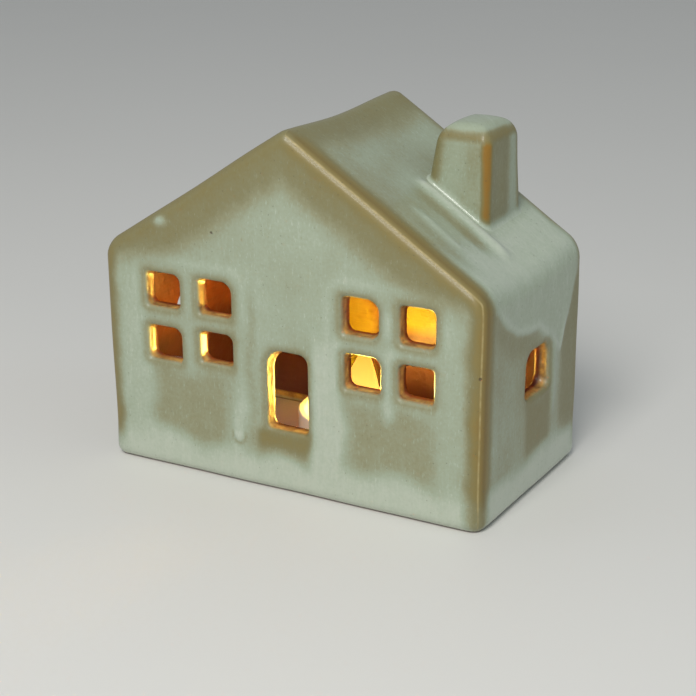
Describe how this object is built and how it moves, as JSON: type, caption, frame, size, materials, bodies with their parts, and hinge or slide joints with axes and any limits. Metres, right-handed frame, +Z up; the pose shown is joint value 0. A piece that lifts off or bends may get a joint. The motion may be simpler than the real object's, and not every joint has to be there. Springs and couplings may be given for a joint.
{
  "type": "tealight house",
  "caption": "Glazed stoneware house with a gabled roof, cut-out windows, door and chimney, standing over a battery tealight with a flame-shaped lens.",
  "frame": {"origin": "on the table, in the middle of the house's foot", "axes": "+X along the front wall to the chimney's side, +Y from the front wall to the back wall, +Z up"},
  "size_m": [0.125, 0.0694, 0.107],
  "materials": {
    "glaze": "glossy reactive glaze, pale grey-green, breaking golden brown on the edges",
    "ivory_plastic": "moulded ivory, satin",
    "cell_steel": "nickel-plated, bright",
    "contact_steel": "nickel-plated spring strip",
    "black_plastic": "moulded black",
    "lamp_epoxy": "clear amber epoxy, lit",
    "tinned_wire": "tinned wire",
    "retainer_plastic": "moulded, matt",
    "flame_silicone": "translucent flame-coloured silicone, lit from inside"
  },
  "bodies": {
    "tealight": {"tealight_cup": "ivory_plastic", "tealight_base": "ivory_plastic", "coin_cell": "cell_steel", "negative_contact": "contact_steel", "positive_contact": "contact_steel", "lamp": "lamp_epoxy", "lamp_lead_negative": "tinned_wire", "lamp_lead_positive": "tinned_wire", "lamp_retainer": "retainer_plastic", "flame_lens": "flame_silicone"},
    "house": {"house_shell": "glaze", "chimney": "glaze"},
    "switch": {"switch_slider": "black_plastic", "switch_wiper": "contact_steel"},
    "battery_cover": {"battery_cover": "ivory_plastic"}
  },
  "joints": [
    {"name": "house_lift", "type": "slide", "parent": "tealight", "child": "house", "axis": [0, 0, 1], "range_m": [0, 0.08]},
    {"name": "switch_slide", "type": "slide", "parent": "tealight", "child": "switch", "axis": [0, 1, 0], "range_m": [0, 0.0025]},
    {"name": "cover_turn", "type": "hinge", "parent": "tealight", "child": "battery_cover", "pos_m": [0.0036, -0.004, 0.0017], "axis": [0, 0, 1], "range_deg": [0, 40]}
  ]
}
